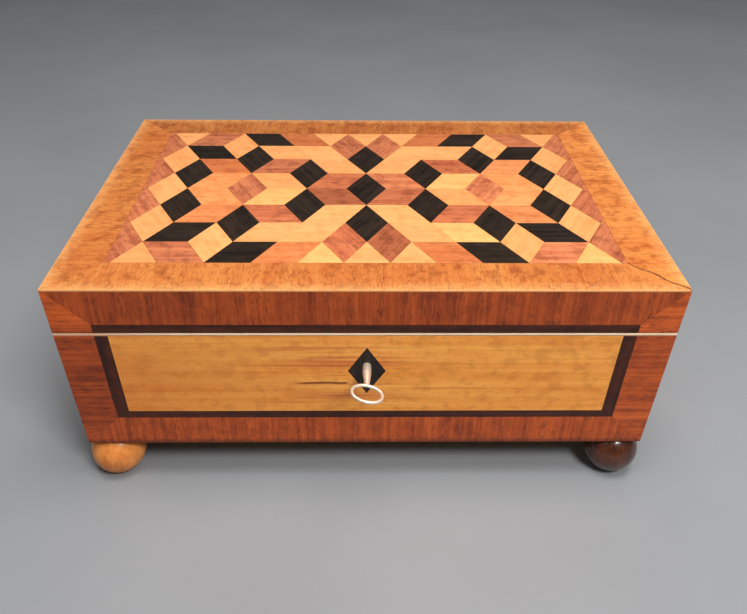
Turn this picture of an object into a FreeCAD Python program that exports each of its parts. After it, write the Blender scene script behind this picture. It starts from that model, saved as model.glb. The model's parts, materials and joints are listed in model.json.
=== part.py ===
import FreeCAD, Part
import math
import os

# An inlaid wooden box: a tapered carcass on four bun feet, a hinged lid with cube parquetry
# on top, crossbanded fronts with ebony stringing, and a box lock with its key in it.
# Millimetres, +Z up, front towards -Y. While it is being built, x = 0 and y = 0 are the
# middle of the box and z = 0 is the underside of the feet.

# Overall form
LID_WIDTH = 300.0
LID_DEPTH = 202.5
WOOD_HEIGHT = 100.8
LID_HEIGHT = 25.4
LID_GAP = 0.6
TAPER_ANGLE = 2.1

# Boards, veneer and lining
BOARD = 9.0
BASE_THICKNESS = 7.0
TOP_BOARD_THICKNESS = 6.0
VENEER = 1.2
GLUE_LINE = 0.06
RIM_HEIGHT = 1.4
LINING = 0.8
LINING_CLEARANCE = 0.5

# Framing on the faces: crossbanding, ebony string and panel
LID_BAND_HEIGHT = 20.6
BOTTOM_BAND_HEIGHT = 18.6
UPRIGHT_BAND_WIDTH = 19.1
STRING_ACROSS = 4.7
STRING_UPRIGHT = 6.5

# Parquetry on the lid: columns and rows of the rhombic lattice inside the border
BORDER_WIDTH = 23.2
TILE_COLUMNS = 11.25
TILE_ROWS = 8

# Bun feet
FOOT_HEIGHT = 26.5
FOOT_RADIUS = 14.4
FOOT_WIDEST_HEIGHT = 13.2
FOOT_OVERHANG = 3.6
SPIGOT_RADIUS = 4.0
SPIGOT_LENGTH = 5.0

# Lozenge escutcheon and key
ESCUTCHEON_SHARE = 0.6028
ESCUTCHEON_SLENDERNESS = 1.615
ESCUTCHEON_BELOW_KEY = 3.3
KEY_BARREL_RADIUS = 2.15
KEY_NECK_RADIUS = 1.2
KEY_BARREL_OUT = 5.5
KEY_SHANK_OUT = 13.0
KEY_END_GAP = 0.3
BOW_WIDTH = 16.5
BOW_LENGTH = 12.5
BOW_WIRE_RADIUS = 0.8
BOW_END_CURVE = 4.6
KEY_REST_TURN = 76.0
KEY_TURN = 180.0
KEYHOLE_CLEARANCE = 0.35
BIT_REACH = 7.5
BIT_THICKNESS = 1.6
BIT_LENGTH = 3.8
BIT_BACK_GAP = 0.8
BIT_LIFT = 1.2

# Lock: depths are counted forwards from its back plate, and heights from the key's axis
LOCK_EAR_WIDTH = 7.0
LOCK_PLATE_MARGIN = 2.9
LOCK_PLATE_THICKNESS = 1.5
SELVEDGE_LAND = 1.4
CASE_WIDTH = 44.0
CASE_DEPTH = 5.9
CASE_FLOOR_GAP = 0.8
CASE_WALL = 0.8
CASE_TOP_GAP = 0.4
LOCK_CLEARANCE = 0.1
DRILL_PIN_RADIUS = 1.25
DRILL_PIN_CLEARANCE = 0.05
DRILL_PIN_REACH = 7.0
BORE_END_GAP = 0.5
BOLT_TRAVEL = 5.0
BOLT_FORWARD = 2.7
BOLT_THICKNESS = 1.8
BOLT_BAR_HEIGHT = 4.7
TALON_HEIGHT = 1.6
TALON_CLEARANCE = 0.5
TOOTH_HEIGHT = 3.0
RISER_LENGTH = 2.5
STAPLE_SPACING = 22.0
STAPLE_THICKNESS = 3.0
STAPLE_WIDTH = 4.0
STAPLE_REACH = 9.0
STAPLE_BAR_GAP = 1.2
STAPLE_HOLE_WIDTH = 2.6
STAPLE_HOLE_HEIGHT = 4.0
STAPLE_FOOT = 1.5
STAPLE_CLEARANCE = 0.6
LINK_PLATE_WIDTH = 48.0
LINK_PLATE_THICKNESS = 1.2

# Stopped butt hinges
HINGE_SPACING = 180.0
HINGE_WIDTH = 30.0
HINGE_KNUCKLES = 5
HINGE_OPENING = 95.0
LEAF_THICKNESS = 1.2
LEAF_REACH = 8.2
KNUCKLE_RADIUS = 2.2
KNUCKLE_CLEARANCE = 0.4
KNUCKLE_GAP = 0.15
PIN_RADIUS = 1.0
PIN_CLEARANCE = 0.05
TAIL_REACH = 7.0
TAIL_MARGIN = 0.5

# Countersunk wood screws
SCREW_HEAD_RADIUS = 1.7
SCREW_SHANK_RADIUS = 0.8
SCREW_HEAD_HEIGHT = 0.9
SCREW_LENGTH = 5.5
SCREW_EDGE = 3.2

# Heights and places that follow from the sizes above
TOP = FOOT_HEIGHT + WOOD_HEIGHT
LID_BOTTOM = TOP - LID_HEIGHT
BODY_TOP = LID_BOTTOM - LID_GAP
BOARD_TOP = BODY_TOP - RIM_HEIGHT
BASE_TOP = FOOT_HEIGHT + BASE_THICKNESS
VENEER_TOP = TOP - VENEER
TOP_BOARD_BOTTOM = VENEER_TOP - TOP_BOARD_THICKNESS
WALL = VENEER + BOARD
TAPER = math.radians(TAPER_ANGLE)
TAPER_RATE = math.tan(TAPER)
SELVEDGE_DEPTH = BOARD - SELVEDGE_LAND
CASE_BELOW_KEY = BIT_REACH + CASE_FLOOR_GAP + CASE_WALL
LOCK_PLATE_BELOW_KEY = CASE_BELOW_KEY + LOCK_PLATE_MARGIN
LOCK_PLATE_WIDTH = CASE_WIDTH + 2 * LOCK_EAR_WIDTH
BOLT_BAR_BOTTOM = BIT_REACH - BIT_LIFT
BOLT_BAR_TOP = BOLT_BAR_BOTTOM + BOLT_BAR_HEIGHT
STAPLE_BOTTOM = BOLT_BAR_TOP + STAPLE_BAR_GAP
KEY_BELOW_RIM = STAPLE_BOTTOM + STAPLE_REACH - LID_GAP
KEY_Z = BODY_TOP - KEY_BELOW_RIM
WORKS_BACK = WALL * math.cos(TAPER) - LOCK_PLATE_THICKNESS
CASE_FRONT = WORKS_BACK - CASE_DEPTH
BOLT_MIDDLE = WORKS_BACK - BOLT_FORWARD
DRILL_PIN_FRONT = WORKS_BACK - DRILL_PIN_REACH
PANEL_HEIGHT = BOARD_TOP - FOOT_HEIGHT - BOTTOM_BAND_HEIGHT - STRING_ACROSS
ESCUTCHEON_HEIGHT = ESCUTCHEON_SHARE * PANEL_HEIGHT
ESCUTCHEON_WIDTH = ESCUTCHEON_HEIGHT / ESCUTCHEON_SLENDERNESS
FIELD_WIDTH = LID_WIDTH - 2 * BORDER_WIDTH
FIELD_DEPTH = LID_DEPTH - 2 * BORDER_WIDTH
TILE_EDGE = FIELD_WIDTH / TILE_COLUMNS
ROW_PITCH = FIELD_DEPTH / TILE_ROWS
FAR = LID_WIDTH + LID_DEPTH

X = FreeCAD.Vector(1, 0, 0)
Y = FreeCAD.Vector(0, 1, 0)
Z = FreeCAD.Vector(0, 0, 1)

# Each side's two corners, as signs of x and y, in the order met going round the box
SIDES = {
    "front": ((-1, -1), (1, -1)),
    "right": ((1, -1), (1, 1)),
    "back": ((1, 1), (-1, 1)),
    "left": ((-1, 1), (-1, -1)),
}


def half_width(z):
    """Half the box's width at a height: all four faces lean out by the same taper."""
    return LID_WIDTH / 2 - (TOP - z) * TAPER_RATE


def half_depth(z):
    return LID_DEPTH / 2 - (TOP - z) * TAPER_RATE


def half_across(side, z):
    """Half the length of one face at a height, along the face."""
    return half_width(z) if side in ("front", "back") else half_depth(z)


def corner(signs, inset, z):
    """A point on the box's corner line, moved in by the inset from both faces."""
    return FreeCAD.Vector(signs[0] * (half_width(z) - inset), signs[1] * (half_depth(z) - inset), z)


def polygon(points):
    return Part.Face(Part.makePolygon(points + points[:1]))


def six_sided(lower, upper):
    """A solid between two four-cornered outlines."""
    faces = [polygon(lower), polygon(upper)]
    for n in range(4):
        after = (n + 1) % 4
        faces.append(polygon([lower[n], lower[after], upper[after], upper[n]]))
    solid = Part.makeSolid(Part.makeShell(faces))
    if solid.Volume < 0:
        solid.reverse()
    return solid


def mitred_board(side, outer, inner, low, high):
    """One board of a four-sided frame: it follows the taper and is mitred at both ends."""
    first, second = SIDES[side]
    rings = []
    for z in (low, high):
        rings.append([corner(first, outer, z), corner(second, outer, z),
                      corner(second, inner, z), corner(first, inner, z)])
    return six_sided(rings[0], rings[1])


def full_board(inset, low, high):
    """A board across the whole box, with its edges on the taper."""
    signs = [SIDES[side][0] for side in SIDES]
    return six_sided([corner(s, inset, low) for s in signs], [corner(s, inset, high) for s in signs])


def box(x0, x1, y0, y1, z0, z1):
    return Part.makeBox(x1 - x0, y1 - y0, z1 - z0, FreeCAD.Vector(x0, y0, z0))


def cylinder_between(start, end, radius):
    return Part.makeCylinder(radius, (end - start).Length, start, end - start)


def node(*shapes):
    """One node's shape: the separate solids that belong to it."""
    return Part.makeCompound([solid for shape in shapes for solid in shape.Solids])


def glue_gap(outline):
    """A convex outline with every edge moved in by half a glue line."""
    count = len(outline)
    turn = sum(outline[n][0] * outline[(n + 1) % count][1] - outline[(n + 1) % count][0] * outline[n][1]
               for n in range(count))
    inward = math.copysign(GLUE_LINE / 2, turn)
    edges = []
    for n in range(count):
        (x0, y0), (x1, y1) = outline[n], outline[(n + 1) % count]
        length = math.hypot(x1 - x0, y1 - y0)
        across, up = (x1 - x0) / length, (y1 - y0) / length
        edges.append((x0 - up * inward, y0 + across * inward, across, up))
    moved = []
    for n in range(count):
        x0, y0, across0, up0 = edges[n - 1]
        x1, y1, across1, up1 = edges[n]
        reach = ((x1 - x0) * up1 - (y1 - y0) * across1) / (across0 * up1 - up0 * across1)
        moved.append((x0 + across0 * reach, y0 + up0 * reach))
    return moved


def on_face(slab, side, outline):
    """The part of a veneer slab inside an outline, drawn along the face and up."""
    along = {
        "front": lambda u, z: FreeCAD.Vector(u, -FAR, z),
        "back": lambda u, z: FreeCAD.Vector(u, FAR, z),
        "left": lambda u, z: FreeCAD.Vector(-FAR, u, z),
        "right": lambda u, z: FreeCAD.Vector(FAR, u, z),
    }[side]
    inward = {"front": Y, "back": -Y, "left": X, "right": -X}[side]
    prism = polygon([along(u, z) for u, z in glue_gap(outline)]).extrude(inward * FAR)
    return slab.common(prism)


# ---- Carcass, lid frame and lining ----

def carcass():
    """Four mitred boards standing on the base board."""
    boards = {}
    for side in SIDES:
        boards["carcass_" + side] = mitred_board(side, VENEER, WALL, BASE_TOP, BOARD_TOP)
    boards["base_board"] = full_board(VENEER, FOOT_HEIGHT, BASE_TOP)
    return boards


def rim_facings():
    """Pale strips on the carcass's upper edge, which show as a thin line under the lid."""
    return [mitred_board(side, 0, WALL, BOARD_TOP, BODY_TOP) for side in SIDES]


def lid_frame():
    """The lid's four mitred rails under its top board."""
    rails = {}
    for side in SIDES:
        rails["lid_rail_" + side] = mitred_board(side, VENEER, WALL, LID_BOTTOM, TOP_BOARD_BOTTOM)
    rails["lid_top_board"] = full_board(VENEER, TOP_BOARD_BOTTOM, VENEER_TOP)
    return rails


def body_lining():
    floor = full_board(WALL, BASE_TOP, BASE_TOP + LINING)
    walls = [mitred_board(side, WALL, WALL + LINING, BASE_TOP + LINING,
                          BOARD_TOP - LINING_CLEARANCE)
             for side in SIDES]
    return floor, walls


def lid_lining():
    ceiling = full_board(WALL, TOP_BOARD_BOTTOM - LINING, TOP_BOARD_BOTTOM)
    lower_edge = LID_BOTTOM + LINK_PLATE_THICKNESS + LINING_CLEARANCE
    walls = [mitred_board(side, WALL, WALL + LINING, lower_edge, TOP_BOARD_BOTTOM - LINING)
             for side in SIDES]
    return node(ceiling, *walls)


# ---- Veneers on the faces ----

def face_edge(side, inset, z):
    return half_across(side, z) - inset


def mirrored_outline(outline):
    return [(-u, z) for u, z in outline]


def lid_framing(side):
    """The lid's share of one framed face: top band, two end bands and the string."""
    slab = mitred_board(side, 0, VENEER, LID_BOTTOM, VENEER_TOP)
    string_top = TOP - LID_BAND_HEIGHT
    outer_string = UPRIGHT_BAND_WIDTH
    inner_string = UPRIGHT_BAND_WIDTH + STRING_UPRIGHT
    corner_top = (face_edge(side, 0, TOP), TOP)
    mitre = (face_edge(side, outer_string, string_top), string_top)
    string_foot = (face_edge(side, outer_string, LID_BOTTOM), LID_BOTTOM)
    string_inner = (face_edge(side, inner_string, LID_BOTTOM), LID_BOTTOM)
    band = [corner_top, mitre] + mirrored_outline([mitre, corner_top])
    end = [corner_top, mitre, string_foot, (FAR, LID_BOTTOM), (FAR, TOP)]
    string = [mitre, string_inner] + mirrored_outline([string_inner, mitre])
    stub = [mitre, string_foot, string_inner]
    ends = [on_face(slab, side, outline) for outline in (end, mirrored_outline(end))]
    strings = [on_face(slab, side, outline) for outline in (string, stub, mirrored_outline(stub))]
    return on_face(slab, side, band), ends, strings


def body_framing(side):
    """The body's share of one framed face: three bands, three strings and the panel."""
    slab = mitred_board(side, 0, VENEER, FOOT_HEIGHT, BOARD_TOP)
    string_bottom = FOOT_HEIGHT + BOTTOM_BAND_HEIGHT
    panel_bottom = string_bottom + STRING_ACROSS
    outer_string = UPRIGHT_BAND_WIDTH
    inner_string = UPRIGHT_BAND_WIDTH + STRING_UPRIGHT
    band_top = (face_edge(side, outer_string, BOARD_TOP), BOARD_TOP)
    band_mitre = (face_edge(side, outer_string, string_bottom), string_bottom)
    foot_corner = (face_edge(side, 0, FOOT_HEIGHT), FOOT_HEIGHT)
    panel_top_corner = (face_edge(side, inner_string, BOARD_TOP), BOARD_TOP)
    panel_foot_corner = (face_edge(side, inner_string, panel_bottom), panel_bottom)
    upright_band = [band_top, band_mitre, foot_corner, (FAR, FOOT_HEIGHT), (FAR, BOARD_TOP)]
    lower_band = [band_mitre, foot_corner] + mirrored_outline([foot_corner, band_mitre])
    upright_string = [band_top, band_mitre, panel_foot_corner, panel_top_corner]
    lower_string = [band_mitre, panel_foot_corner] + mirrored_outline([panel_foot_corner, band_mitre])
    panel = [panel_top_corner, panel_foot_corner]
    panel += mirrored_outline([panel_foot_corner, panel_top_corner])
    bands = [on_face(slab, side, outline)
             for outline in (mirrored_outline(upright_band), upright_band, lower_band)]
    strings = [on_face(slab, side, outline)
               for outline in (mirrored_outline(upright_string), upright_string, lower_string)]
    return bands, strings, on_face(slab, side, panel)


def flat_prism(outline):
    """The veneer inside an outline on the lid's top, less its half of each glue line."""
    points = [FreeCAD.Vector(x, y, VENEER_TOP) for x, y in glue_gap(outline)]
    return polygon(points).extrude(Z * VENEER)


def lid_border():
    """Four crossbanded strips round the parquetry, mitred at the corners of the lid."""
    slab = full_board(0, VENEER_TOP, TOP)
    strips = {}
    for side, (first, second) in SIDES.items():
        outline = []
        for signs, reach in ((first, -BORDER_WIDTH), (second, -BORDER_WIDTH),
                             (second, BORDER_WIDTH), (first, BORDER_WIDTH)):
            outline.append((signs[0] * (LID_WIDTH / 2 - reach), signs[1] * (LID_DEPTH / 2 - reach)))
        strips["top_border_" + side] = slab.common(flat_prism(outline))
    return strips


# ---- Parquetry ----
# The lattice is counted in tile edges across (i) and rows back (k) from the field's front edge.

def upright(i, k):
    return [(i, k), (i + 0.5, k + 1), (i, k + 2), (i - 0.5, k + 1)]


def leaning_right(i, k):
    return [(i, k), (i + 1, k), (i + 1.5, k + 1), (i + 0.5, k + 1)]


def leaning_left(i, k):
    return [(i, k), (i + 1, k), (i + 0.5, k + 1), (i - 0.5, k + 1)]


def triangle(i, k):
    return [(i, k), (i + 1, k), (i + 0.5, k + 1)]


# One quarter of the pattern, front left. The other three are its mirror images. The last three
# mahogany tiles are mostly cut off: they fill the notches against the border.
PATTERN = {
    "tiles_ebony_upright": [upright(-3, 1), upright(0, 1), upright(-4.5, 2), upright(-1.5, 2),
                            upright(0, 3)],
    "tiles_ebony_slanted": [leaning_right(-3.5, 0), leaning_right(-5, 1)],
    "tiles_maple_upright": [upright(-3.5, 0), upright(-5, 1), upright(-5, 3)],
    "tiles_maple_slanted": [leaning_right(-3, 1), leaning_right(-2, 1), leaning_right(-1.5, 2),
                            leaning_right(-3, 3)],
    "tiles_maple_triangle": [triangle(-5.5, 0), triangle(-1.5, 0), triangle(-0.5, 0)],
    "tiles_cherry_slanted": [leaning_right(-2.5, 0), leaning_right(-4.5, 2), leaning_left(-4, 3)],
    "tiles_mahogany_upright": [upright(-5.5, 0), upright(-5.5, 2), upright(-0.5, 0),
                               upright(-3, 3), triangle(-6.5, 0), upright(-6, 1), upright(-6, 3)],
    "tiles_mahogany_slanted": [leaning_left(-4.5, 0), leaning_left(-2.5, 2), leaning_left(-1, 3)],
}


def mirror_images(tile):
    """A tile and its images across the field's two middle lines, without repeats."""
    images = {}
    for across in (1, -1):
        for back in (False, True):
            image = [(across * i, TILE_ROWS - k if back else k) for i, k in tile]
            middle = (round(sum(i for i, k in image), 3), round(sum(k for i, k in image), 3))
            images.setdefault(middle, image)
    return list(images.values())


def parquetry():
    edge = FIELD_WIDTH / 2 - GLUE_LINE / 2
    field = box(-edge, edge, -FIELD_DEPTH / 2, FIELD_DEPTH / 2, VENEER_TOP, TOP)
    nodes = {}
    for name, quarter in PATTERN.items():
        tiles = []
        for tile in [image for drawn in quarter for image in mirror_images(drawn)]:
            solid = flat_prism([(i * TILE_EDGE, k * ROW_PITCH - FIELD_DEPTH / 2) for i, k in tile])
            if max(abs(i) for i, k in tile) > TILE_COLUMNS / 2:
                solid = solid.common(field)
            tiles.append(solid)
        nodes[name] = node(*tiles)
    return nodes


# ---- Feet ----

def foot_centre(signs):
    reach = corner(signs, FOOT_RADIUS - FOOT_OVERHANG, FOOT_HEIGHT)
    return FreeCAD.Vector(reach.x, reach.y, 0)


def spigot(signs):
    centre = foot_centre(signs)
    start = centre + Z * FOOT_HEIGHT
    return cylinder_between(start, start + Z * SPIGOT_LENGTH, SPIGOT_RADIUS)


def foot(signs):
    """A turned ball with a flat seat at each end and a spigot up into the base board."""
    ball = Part.makeSphere(FOOT_RADIUS, Z * FOOT_WIDEST_HEIGHT)
    bun = ball.common(box(-FOOT_RADIUS, FOOT_RADIUS, -FOOT_RADIUS, FOOT_RADIUS, 0, FOOT_HEIGHT))
    bun.translate(foot_centre(signs))
    return bun.fuse(spigot(signs)).removeSplitter()


# ---- Lock, escutcheon and key ----
# These are drawn with the key's axis along Y through the origin, y = 0 on the front face and
# +y into the wood, and are then leaned with the face.

def lean_with_front(shape):
    shape = shape.copy()
    shape.rotate(FreeCAD.Vector(0, 0, 0), X, TAPER_ANGLE)
    shape.translate(FreeCAD.Vector(0, -half_depth(KEY_Z), KEY_Z))
    return shape


def keyhole(start, end):
    """A round hole for the barrel with a slot below it for the bit."""
    radius = KEY_BARREL_RADIUS + KEYHOLE_CLEARANCE
    half_slot = BIT_THICKNESS / 2 + KEYHOLE_CLEARANCE
    hole = cylinder_between(Y * start, Y * end, radius)
    slot = box(-half_slot, half_slot, start, end, -BIT_REACH - KEYHOLE_CLEARANCE, 0)
    return lean_with_front(hole.fuse(slot))


def lozenge(start, end):
    middle = -ESCUTCHEON_BELOW_KEY
    points = [FreeCAD.Vector(0, start, middle + ESCUTCHEON_HEIGHT / 2),
              FreeCAD.Vector(ESCUTCHEON_WIDTH / 2, start, middle),
              FreeCAD.Vector(0, start, middle - ESCUTCHEON_HEIGHT / 2),
              FreeCAD.Vector(-ESCUTCHEON_WIDTH / 2, start, middle)]
    return lean_with_front(polygon(points).extrude(Y * (end - start)))


def above(z):
    return box(-FAR, FAR, -FAR, FAR, z, z + FAR)


def selvedge(grow):
    """The lock's top flange, which lies flush in the rim."""
    inner = -(half_depth(BODY_TOP) - WALL)
    half = LOCK_PLATE_WIDTH / 2 + grow
    return box(-half, half, inner - SELVEDGE_DEPTH - grow, inner,
               BODY_TOP - LOCK_PLATE_THICKNESS, BODY_TOP)


def back_plate(grow):
    half = LOCK_PLATE_WIDTH / 2 + grow
    plate = box(-half, half, WORKS_BACK, WORKS_BACK + LOCK_PLATE_THICKNESS,
                -LOCK_PLATE_BELOW_KEY - grow, KEY_BELOW_RIM + CASE_WALL)
    return lean_with_front(plate).cut(above(BODY_TOP))


def case_block(grow):
    half = CASE_WIDTH / 2 + grow
    return lean_with_front(box(-half, half, CASE_FRONT - grow, WORKS_BACK,
                               -CASE_BELOW_KEY - grow,
                               KEY_BELOW_RIM - LOCK_PLATE_THICKNESS - CASE_TOP_GAP + grow))


def staple_slots():
    """Two slots in the selvedge that the link plate's staples drop through."""
    level = KEY_BELOW_RIM - LOCK_PLATE_THICKNESS / 2
    middle = -half_depth(KEY_Z) + BOLT_MIDDLE * math.cos(TAPER) - level * math.sin(TAPER)
    half_x = STAPLE_THICKNESS / 2 + STAPLE_CLEARANCE
    half_y = STAPLE_WIDTH / 2 + STAPLE_CLEARANCE
    slots = []
    for x in (-STAPLE_SPACING / 2, STAPLE_SPACING / 2):
        slots.append(box(x - half_x, x + half_x, middle - half_y, middle + half_y,
                         BODY_TOP - 2 * LOCK_PLATE_THICKNESS, BODY_TOP + LOCK_PLATE_THICKNESS))
    return slots


def lock_screw_solids():
    """Two screws from inside the box through the ears of the back plate."""
    reach = (LOCK_PLATE_WIDTH + CASE_WIDTH) / 4
    screws = []
    for x in (-reach, reach):
        head = FreeCAD.Vector(x, WORKS_BACK + LOCK_PLATE_THICKNESS, 0)
        screws.append(lean_with_front(screw(head, -Y)))
    return screws


def lock_plate(screws):
    plate = back_plate(0).fuse(selvedge(0)).removeSplitter()
    for cutter in staple_slots() + screws + [lean_with_front(drill_pin_solid())]:
        plate = plate.cut(cutter)
    return plate


def lock_case():
    """A thin steel cap over the works, open towards the back plate and at the top."""
    half = CASE_WIDTH / 2 - CASE_WALL
    inside = lean_with_front(box(-half, half, CASE_FRONT + CASE_WALL, WALL,
                                 -CASE_BELOW_KEY + CASE_WALL, FAR))
    return case_block(0).cut(inside).cut(keyhole(0, CASE_FRONT + 2 * CASE_WALL))


def drill_pin_solid():
    back = WORKS_BACK + LOCK_PLATE_THICKNESS
    return cylinder_between(Y * DRILL_PIN_FRONT, Y * back, DRILL_PIN_RADIUS)


def lock_bolt():
    """A bar above the key with a talon notch below and two teeth that enter the staples."""
    y0 = BOLT_MIDDLE - BOLT_THICKNESS / 2
    y1 = BOLT_MIDDLE + BOLT_THICKNESS / 2
    hole_middle = STAPLE_BOTTOM + STAPLE_FOOT + STAPLE_HOLE_HEIGHT / 2
    tooth_z = (hole_middle - TOOTH_HEIGHT / 2, hole_middle + TOOTH_HEIGHT / 2)
    starts = []
    bolt = None
    for staple in (-STAPLE_SPACING / 2, STAPLE_SPACING / 2):
        tip = staple + STAPLE_THICKNESS / 2 + STAPLE_CLEARANCE
        riser = tip + BOLT_TRAVEL
        starts.append(riser)
        hook = box(tip, riser + RISER_LENGTH, y0, y1, tooth_z[0], tooth_z[1])
        hook = hook.fuse(box(riser, riser + RISER_LENGTH, y0, y1, BOLT_BAR_BOTTOM, tooth_z[1]))
        bolt = hook if bolt is None else bolt.fuse(hook)
    bar = box(starts[0], starts[1] + RISER_LENGTH, y0, y1, BOLT_BAR_BOTTOM, BOLT_BAR_TOP)
    return lean_with_front(bolt.fuse(bar).cut(talon(y0, y1)).removeSplitter())


def talon(y0, y1):
    """The notch the bit works in: as wide as the bit's path past the moving bolt."""
    top_turn = 180.0 - KEY_REST_TURN
    middle = BOLT_TRAVEL * top_turn / KEY_TURN
    entry = math.acos(BOLT_BAR_BOTTOM / BIT_REACH)
    swing = BIT_REACH * math.sin(entry) - BOLT_TRAVEL * math.degrees(entry) / KEY_TURN
    half = swing + BIT_THICKNESS / 2 + TALON_CLEARANCE
    return box(middle - half, middle + half, y0, y1, BOLT_BAR_BOTTOM, BOLT_BAR_BOTTOM + TALON_HEIGHT)


def link_plate_block():
    inner = -(half_depth(LID_BOTTOM) - WALL)
    half = LINK_PLATE_WIDTH / 2
    return box(-half, half, inner - SELVEDGE_DEPTH, inner, LID_BOTTOM,
               LID_BOTTOM + LINK_PLATE_THICKNESS)


def link_plate(screws):
    """The lid's half of the lock: a flush plate with two staples standing down from it."""
    high = STAPLE_BOTTOM + STAPLE_REACH + LINK_PLATE_THICKNESS / 2
    y0 = BOLT_MIDDLE - STAPLE_WIDTH / 2
    y1 = BOLT_MIDDLE + STAPLE_WIDTH / 2
    hole_y0 = BOLT_MIDDLE - STAPLE_HOLE_WIDTH / 2
    hole_y1 = BOLT_MIDDLE + STAPLE_HOLE_WIDTH / 2
    hole_low = STAPLE_BOTTOM + STAPLE_FOOT
    plate = link_plate_block()
    for x in (-STAPLE_SPACING / 2, STAPLE_SPACING / 2):
        x0 = x - STAPLE_THICKNESS / 2
        x1 = x + STAPLE_THICKNESS / 2
        staple = box(x0, x1, y0, y1, STAPLE_BOTTOM, high)
        staple = staple.cut(box(x0, x1, hole_y0, hole_y1, hole_low, hole_low + STAPLE_HOLE_HEIGHT))
        plate = plate.fuse(lean_with_front(staple))
    for cutter in screws:
        plate = plate.cut(cutter)
    return plate.removeSplitter()


def key():
    """A pipe key, drawn with its bit pointing down and then turned to its place."""
    end = WORKS_BACK - KEY_END_GAP
    outline = [(end, 0), (end, KEY_BARREL_RADIUS), (-KEY_BARREL_OUT, KEY_BARREL_RADIUS),
               (-KEY_SHANK_OUT, KEY_NECK_RADIUS), (-KEY_SHANK_OUT - BOW_WIRE_RADIUS, 0)]
    shank = polygon([FreeCAD.Vector(radius, y, 0) for y, radius in outline])
    shank = shank.revolve(FreeCAD.Vector(0, 0, 0), Y, 360)
    bore_radius = DRILL_PIN_RADIUS + DRILL_PIN_CLEARANCE
    half_bit = BIT_THICKNESS / 2
    bit_back = WORKS_BACK - BIT_BACK_GAP
    bit = box(-half_bit, half_bit, bit_back - BIT_LENGTH, bit_back, -BIT_REACH, 0)
    shape = shank.fuse(bit).fuse(key_bow())
    bore_front = DRILL_PIN_FRONT - BORE_END_GAP
    shape = shape.cut(cylinder_between(Y * bore_front, Y * WORKS_BACK, bore_radius))
    shape = shape.removeSplitter()
    shape.rotate(FreeCAD.Vector(0, 0, 0), Y, -KEY_REST_TURN)
    return lean_with_front(shape)


def bent_wire(centre, radius, first, last):
    """A round wire bent to an arc: angles run from straight up towards the user, in degrees."""
    section = Part.Face(Part.Wire([Part.Circle(centre + Z * radius, Y, BOW_WIRE_RADIUS).toShape()]))
    piece = section.revolve(centre, X, last - first)
    piece.rotate(centre, X, first)
    return piece


def key_bow():
    """An oval ring in the same plane as the bit: two end curves joined by two flatter ones."""
    along = BOW_LENGTH / 2 - BOW_WIRE_RADIUS
    across = BOW_WIDTH / 2 - BOW_WIRE_RADIUS
    flat_curve = (across ** 2 + along ** 2 - 2 * across * BOW_END_CURVE) / (2 * (along - BOW_END_CURVE))
    end_centre = Z * (across - BOW_END_CURVE)
    flat_centre = Y * (flat_curve - along)
    turn = math.degrees(math.atan2(flat_curve - along, across - BOW_END_CURVE))
    middle = -Y * (KEY_SHANK_OUT + BOW_LENGTH / 2)
    ring = bent_wire(middle + end_centre, BOW_END_CURVE, -turn, turn)
    ring = ring.fuse(bent_wire(middle - end_centre, BOW_END_CURVE, 180 - turn, 180 + turn))
    ring = ring.fuse(bent_wire(middle + flat_centre, flat_curve, turn, 180 - turn))
    ring = ring.fuse(bent_wire(middle - flat_centre, flat_curve, 180 + turn, 360 - turn))
    return ring.removeSplitter()


# ---- Hinges and screws ----

def screw(head, direction):
    """A countersunk screw with its head flush at a point and its shank along a direction."""
    cone = Part.makeCone(SCREW_HEAD_RADIUS, SCREW_SHANK_RADIUS, SCREW_HEAD_HEIGHT, head, direction)
    shank = cylinder_between(head, head + direction * SCREW_LENGTH, SCREW_SHANK_RADIUS)
    return cone.fuse(shank).removeSplitter()


def hinge_axis():
    """The pin's centre line: behind the back face, level with the middle of the lid gap."""
    split = (LID_BOTTOM + BODY_TOP) / 2
    return half_depth(split) + KNUCKLE_RADIUS + KNUCKLE_CLEARANCE, split


def hinge_leaf(x, upper):
    """A leaf let into the rim or the lid, with its knuckles and a stop tail behind them."""
    y, z = hinge_axis()
    inner = y - KNUCKLE_RADIUS - KNUCKLE_CLEARANCE - LEAF_REACH
    low = LID_BOTTOM if upper else BODY_TOP - LEAF_THICKNESS
    left = x - HINGE_WIDTH / 2
    clear = KNUCKLE_RADIUS + KNUCKLE_CLEARANCE
    leaf = box(left, left + HINGE_WIDTH, inner, y - clear, low, low + LEAF_THICKNESS)
    tail_angle = HINGE_OPENING / 2 + TAIL_MARGIN
    tail_low = 0 if upper else -LEAF_THICKNESS
    tail = box(left, left + HINGE_WIDTH, clear, TAIL_REACH, tail_low, tail_low + LEAF_THICKNESS)
    knuckle_length = HINGE_WIDTH / HINGE_KNUCKLES
    for n in range(1 if upper else 0, HINGE_KNUCKLES, 2):
        start = left + n * knuckle_length + KNUCKLE_GAP
        end = left + (n + 1) * knuckle_length - KNUCKLE_GAP
        leaf = leaf.fuse(box(start, end, y - clear, y, low, low + LEAF_THICKNESS))
        leaf = leaf.fuse(cylinder_between(FreeCAD.Vector(start, y, z), FreeCAD.Vector(end, y, z),
                                          KNUCKLE_RADIUS))
        tail = tail.fuse(box(start, end, PIN_RADIUS, clear, tail_low, tail_low + LEAF_THICKNESS))
    tail.rotate(FreeCAD.Vector(0, 0, 0), X, tail_angle if upper else -tail_angle)
    tail.translate(FreeCAD.Vector(0, y, z))
    bore = PIN_RADIUS + (PIN_CLEARANCE if upper else 0)
    leaf = leaf.fuse(tail).cut(hinge_pin(x, bore))
    for cutter in hinge_screws(x, upper):
        leaf = leaf.cut(cutter)
    return leaf.removeSplitter()


def hinge_pin(x, radius):
    y, z = hinge_axis()
    return cylinder_between(FreeCAD.Vector(x - HINGE_WIDTH / 2, y, z),
                            FreeCAD.Vector(x + HINGE_WIDTH / 2, y, z), radius)


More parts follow.
